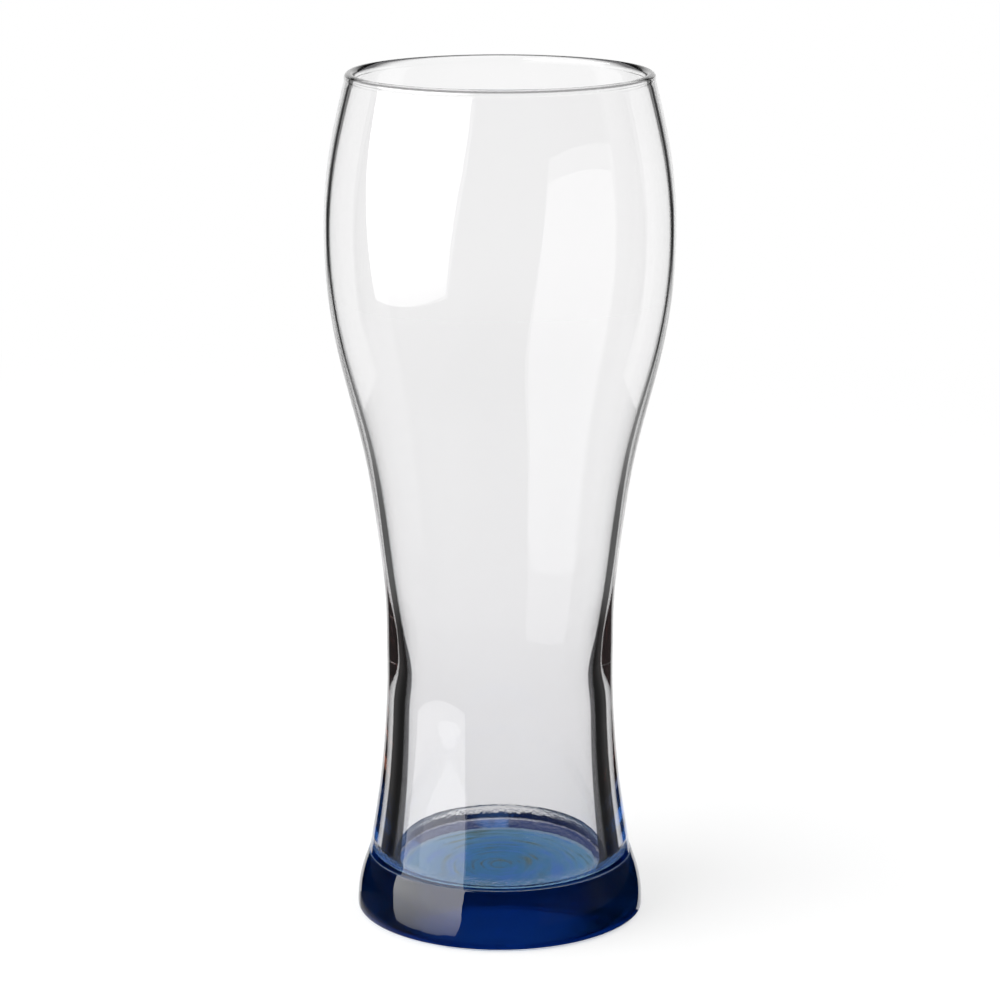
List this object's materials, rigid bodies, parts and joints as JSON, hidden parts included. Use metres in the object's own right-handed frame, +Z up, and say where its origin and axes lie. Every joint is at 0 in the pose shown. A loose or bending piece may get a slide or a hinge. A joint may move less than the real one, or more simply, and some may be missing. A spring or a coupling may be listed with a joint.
{
  "type": "beer glass",
  "caption": "Tall clear beer glass with a beaded rim, wide belly, narrow waist and thick flared foot, made blue by a translucent coat underneath; it holds a drink and stands on a flat ring.",
  "frame": {"origin": "centre of the flat ring under the foot, on the surface that the glass stands on", "axes": "+Z up along the glass's axis of revolution, towards the rim"},
  "size_m": [0.081, 0.081, 0.1997],
  "materials": {
    "clear_glass": "fire-polished clear soda-lime glass",
    "blue_lacquer": "translucent blue lacquer, glossy, with faint streaks"
  },
  "bodies": {
    "root": {"glass_vessel": "clear_glass", "blue_coat": "blue_lacquer"}
  },
  "joints": []
}
